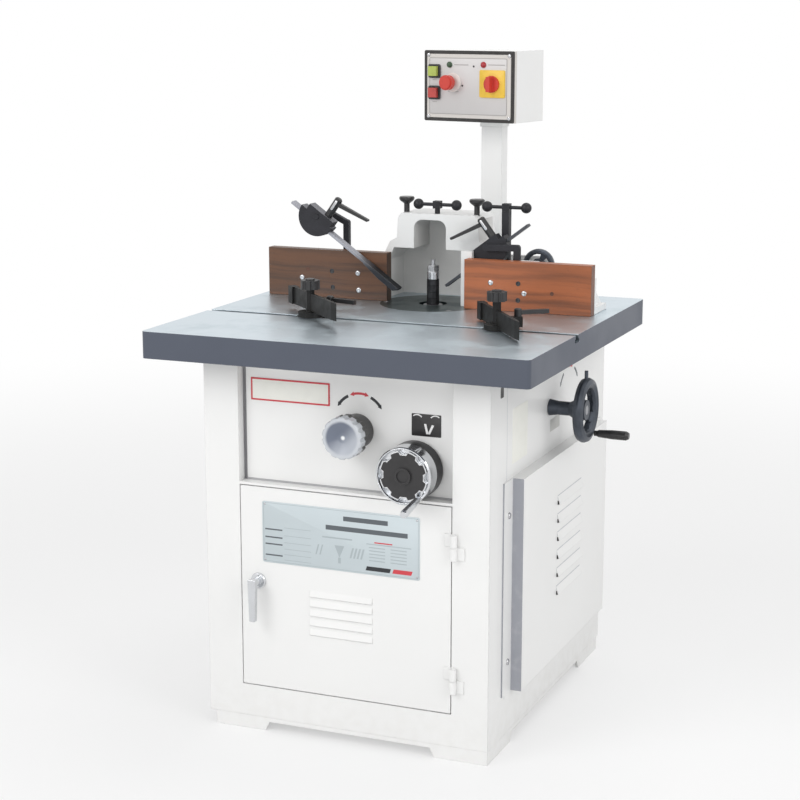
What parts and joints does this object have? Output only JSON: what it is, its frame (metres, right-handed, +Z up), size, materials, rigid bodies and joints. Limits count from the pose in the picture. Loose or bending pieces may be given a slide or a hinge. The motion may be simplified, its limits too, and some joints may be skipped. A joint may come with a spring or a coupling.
{
  "type": "spindle moulder",
  "caption": "Floor-standing spindle moulder: cabinet with door, cast table, vertical cutter spindle with fence and hood, hold-downs, handwheels and a control box on a post.",
  "frame": {"origin": "on the floor, under the middle of the whole machine's bounding box", "axes": "+X to the right as seen by the user in front of the door, +Y to the rear, +Z up"},
  "size_m": [0.915, 0.9575, 1.429],
  "materials": {
    "cream_paint": "gloss enamel",
    "hood_paint": "enamel on cast iron",
    "table_iron": "ground top",
    "ring_iron": "turned",
    "casting": "as cast",
    "steel": "turned",
    "black_steel": "blackened",
    "chrome": "polished",
    "black_plastic": "moulded",
    "grey_plastic": "moulded",
    "green_plastic": "moulded",
    "red_plastic": "moulded",
    "beech": "planed",
    "belt_rubber": "moulded",
    "motor_paint": "enamel",
    "aluminium": "cast"
  },
  "bodies": {
    "cabinet": {"plinth": "cream_paint", "cabinet_shell": "cream_paint", "cabinet_front": "cream_paint", "side_cover": "cream_paint", "table": "table_iron", "insert_rings": "ring_iron", "quill_housing": "casting", "control_post": "cream_paint", "fence_hood": "hood_paint", "left_carrier": "hood_paint", "left_post": "black_steel", "door_hinges": "cream_paint"},
    "door": {"door": "cream_paint"},
    "door_handle": {"door_handle": "chrome"},
    "control_box": {"control_box": "cream_paint", "control_panel": "cream_paint"},
    "start_button": {"start_button": "green_plastic"},
    "stop_button": {"stop_button": "red_plastic"},
    "emergency_knob": {"emergency_knob": "red_plastic"},
    "main_switch": {"main_switch": "red_plastic"},
    "quill": {"quill": "steel", "spindle_bearings": "steel"},
    "spindle": {"spindle_shaft": "steel", "spacer_rings": "black_steel", "spindle_nut": "chrome"},
    "spindle_pulley": {"spindle_pulley": "aluminium"},
    "motor_carriage": {"motor_plate": "casting", "motor": "motor_paint", "drive_belt": "belt_rubber"},
    "motor_rotor": {"motor_rotor": "steel"},
    "side_wheel": {"side_wheel": "black_steel", "tension_screw": "steel"},
    "side_handle": {"side_handle": "black_plastic"},
    "front_wheel": {"front_wheel": "chrome", "front_shaft": "steel"},
    "wheel_lock_knob": {"wheel_lock_knob": "black_plastic"},
    "front_handle": {"front_handle": "chrome"},
    "lead_screw": {"lead_screw": "steel"},
    "lock_knob": {"lock_knob": "grey_plastic"},
    "right_fence": {"right_carrier": "hood_paint", "right_post": "black_steel"},
    "micro_wheel": {"micro_wheel": "black_plastic"},
    "left_board": {"left_board": "beech"},
    "right_board": {"right_board": "beech"},
    "hood_screw": {"hood_screw": "black_steel"},
    "post_screw": {"post_screw": "black_steel"},
    "clamp_knob_left": {"clamp_knob_left": "black_plastic"},
    "clamp_knob_right": {"clamp_knob_right": "black_plastic"},
    "left_holder": {"left_holder": "black_steel"},
    "left_bar": {"left_bar": "steel"},
    "left_lever": {"left_lever": "black_plastic"},
    "right_holder": {"right_holder": "black_steel"},
    "right_bar": {"right_bar": "steel"},
    "right_lever": {"right_lever": "black_plastic"},
    "left_shoe": {"left_shoe": "black_steel"},
    "left_shoe_knob": {"left_shoe_knob": "black_plastic"},
    "left_shoe_lever": {"left_shoe_lever": "black_plastic"},
    "right_shoe": {"right_shoe": "black_steel"},
    "right_shoe_knob": {"right_shoe_knob": "black_plastic"},
    "right_shoe_lever": {"right_shoe_lever": "black_plastic"}
  },
  "joints": [
    {"name": "door_hinge", "type": "hinge", "parent": "cabinet", "child": "door", "pos_m": [0.2125, -0.352, 0.149], "axis": [0, 0, 1], "range_deg": [0, 110]},
    {"name": "door_handle_turn", "type": "hinge", "parent": "door", "child": "door_handle", "pos_m": [-0.2315, -0.344, 0.337], "axis": [0, 1, 0], "range_deg": [0, 90]},
    {"name": "control_box_swivel", "type": "hinge", "parent": "cabinet", "child": "control_box", "pos_m": [0.0145, 0.425, 1.268], "axis": [0, 0, 1], "range_deg": [-40, 50]},
    {"name": "start_press", "type": "slide", "parent": "control_box", "child": "start_button", "axis": [0.1788, 0.9839, 0], "range_m": [0, 0.004], "stiffness_N_per_m": 300},
    {"name": "stop_press", "type": "slide", "parent": "control_box", "child": "stop_button", "axis": [0.1788, 0.9839, 0], "range_m": [0, 0.004], "stiffness_N_per_m": 300},
    {"name": "emergency_press", "type": "slide", "parent": "control_box", "child": "emergency_knob", "axis": [0.1788, 0.9839, 0], "range_m": [0, 0.006]},
    {"name": "main_switch_turn", "type": "hinge", "parent": "control_box", "child": "main_switch", "pos_m": [0.04886, 0.31204, 1.355], "axis": [-0.1788, -0.9839, 0], "range_deg": [0, 90]},
    {"name": "front_wheel_turn", "type": "hinge", "parent": "cabinet", "child": "front_wheel", "pos_m": [0.1195, -0.32, 0.61], "axis": [0, -1, 0], "range_deg": [-5760, 1440]},
    {"name": "lead_screw_turn", "type": "hinge", "parent": "cabinet", "child": "lead_screw", "pos_m": [0.1195, 0.021, 0.36], "axis": [0, 0, 1], "range_deg": [-5760.01, 1440.01]},
    {"name": "quill_slide", "type": "slide", "parent": "cabinet", "child": "quill", "axis": [0, 0, 1], "range_m": [-0.08, 0.02]},
    {"name": "front_handle_spin", "type": "hinge", "parent": "front_wheel", "child": "front_handle", "pos_m": [0.1535, -0.395, 0.567], "axis": [0, -0.9877, -0.1564], "continuous": true},
    {"name": "wheel_lock_turn", "type": "hinge", "parent": "front_wheel", "child": "wheel_lock_knob", "pos_m": [0.1195, -0.395, 0.61], "axis": [0, -1, 0], "range_deg": [-90, 90]},
    {"name": "lock_knob_turn", "type": "hinge", "parent": "cabinet", "child": "lock_knob", "pos_m": [-0.0115, -0.32, 0.677], "axis": [0, -1, 0], "range_deg": [-120, 60]},
    {"name": "spindle_spin", "type": "hinge", "parent": "quill", "child": "spindle", "pos_m": [-0.0335, 0.156, 0.8], "axis": [0, 0, 1], "continuous": true},
    {"name": "spindle_pulley_spin", "type": "hinge", "parent": "cabinet", "child": "spindle_pulley", "pos_m": [-0.0335, 0.156, 0.295], "axis": [0, 0, 1], "continuous": true},
    {"name": "rotor_spin", "type": "hinge", "parent": "motor_carriage", "child": "motor_rotor", "pos_m": [0.1665, 0.156, 0.295], "axis": [0, 0, 1], "continuous": true},
    {"name": "side_wheel_turn", "type": "hinge", "parent": "cabinet", "child": "side_wheel", "pos_m": [0.2865, 0.035, 0.68], "axis": [1, 0, 0], "range_deg": [-1080.1, 0.1]},
    {"name": "motor_slide", "type": "slide", "parent": "cabinet", "child": "motor_carriage", "axis": [1, 0, 0], "range_m": [-0.015, 0]},
    {"name": "side_handle_spin", "type": "hinge", "parent": "side_wheel", "child": "side_handle", "pos_m": [0.3795, 0.064, 0.624], "axis": [1, 0, 0], "continuous": true},
    {"name": "right_fence_slide", "type": "slide", "parent": "cabinet", "child": "right_fence", "axis": [0, 1, 0], "range_m": [-0.015, 0.01]},
    {"name": "micro_turn", "type": "hinge", "parent": "right_fence", "child": "micro_wheel", "pos_m": [0.1995, 0.149, 0.963], "axis": [0, 1, 0], "range_deg": [-2700.1, 1800.1]},
    {"name": "left_board_slide", "type": "slide", "parent": "cabinet", "child": "left_board", "axis": [1, 0, 0], "range_m": [-0.015, 0.05]},
    {"name": "right_board_slide", "type": "slide", "parent": "right_fence", "child": "right_board", "axis": [1, 0, 0], "range_m": [-0.03, 0.03]},
    {"name": "hood_screw_turn", "type": "hinge", "parent": "cabinet", "child": "hood_screw", "pos_m": [-0.0425, 0.205, 1.068], "axis": [0, 0, 1], "range_deg": [-180, 180]},
    {"name": "post_screw_turn", "type": "hinge", "parent": "right_fence", "child": "post_screw", "pos_m": [0.1255, 0.199, 1.081], "axis": [0, 0, 1], "range_deg": [-180, 180]},
    {"name": "clamp_knob_left_turn", "type": "hinge", "parent": "cabinet", "child": "clamp_knob_left", "pos_m": [-0.1225, 0.217, 1.068], "axis": [0, 0, 1], "range_deg": [-180, 180]},
    {"name": "clamp_knob_right_turn", "type": "hinge", "parent": "cabinet", "child": "clamp_knob_right", "pos_m": [0.0485, 0.217, 1.068], "axis": [0, 0, 1], "range_deg": [-180, 180]},
    {"name": "left_tilt", "type": "hinge", "parent": "cabinet", "child": "left_holder", "pos_m": [-0.3005, 0.123, 1.06], "axis": [0, 1, 0], "range_deg": [-25, 3]},
    {"name": "left_bar_slide", "type": "slide", "parent": "left_holder", "child": "left_bar", "axis": [0.8141, 0, -0.5807], "range_m": [-0.05, 0.025]},
    {"name": "left_lever_turn", "type": "hinge", "parent": "left_holder", "child": "left_lever", "pos_m": [-0.27772, 0.123, 1.06095], "axis": [0.5807, 0, 0.8141], "range_deg": [-60, 60]},
    {"name": "right_tilt", "type": "hinge", "parent": "right_fence", "child": "right_holder", "pos_m": [0.0995, 0.164, 1.005], "axis": [0, 1, 0], "range_deg": [-5, 5]},
    {"name": "right_bar_slide", "type": "slide", "parent": "right_holder", "child": "right_bar", "axis": [-0.7986, 0, -0.6018], "range_m": [-0.05, 0]},
    {"name": "right_lever_turn", "type": "hinge", "parent": "right_holder", "child": "right_lever", "pos_m": [0.10545, 0.164, 1.02701], "axis": [-0.6018, 0, 0.7986], "range_deg": [0, 60]},
    {"name": "left_shoe_slide", "type": "slide", "parent": "cabinet", "child": "left_shoe", "axis": [1, 0, 0], "range_m": [-0.1, 0.1]},
    {"name": "left_shoe_knob_turn", "type": "hinge", "parent": "left_shoe", "child": "left_shoe_knob", "pos_m": [-0.2115, -0.117, 0.93], "axis": [0, 0, 1], "range_deg": [-180, 180]},
    {"name": "left_shoe_lever_turn", "type": "hinge", "parent": "left_shoe", "child": "left_shoe_lever", "pos_m": [-0.17897, -0.08447, 0.896], "axis": [0, 0, 1], "range_deg": [-25, 60]},
    {"name": "right_shoe_slide", "type": "slide", "parent": "cabinet", "child": "right_shoe", "axis": [1, 0, 0], "range_m": [-0.1, 0.05]},
    {"name": "right_shoe_knob_turn", "type": "hinge", "parent": "right_shoe", "child": "right_shoe_knob", "pos_m": [0.2165, -0.117, 0.93], "axis": [0, 0, 1], "range_deg": [-180, 180]},
    {"name": "right_shoe_lever_turn", "type": "hinge", "parent": "right_shoe", "child": "right_shoe_lever", "pos_m": [0.25372, -0.08996, 0.896], "axis": [0, 0, 1], "range_deg": [-25, 60]}
  ],
  "couplings": [
    {"joint": "lead_screw_turn", "follows": "front_wheel_turn", "ratio": 1},
    {"joint": "quill_slide", "follows": "front_wheel_turn", "m_per_rad": 0.00079577},
    {"joint": "spindle_spin", "follows": "rotor_spin", "ratio": 1.3333},
    {"joint": "spindle_pulley_spin", "follows": "rotor_spin", "ratio": 1.3333},
    {"joint": "side_wheel_turn", "follows": "motor_slide", "rad_per_m": 1256.6},
    {"joint": "micro_turn", "follows": "right_fence_slide", "rad_per_m": 3141.6}
  ]
}
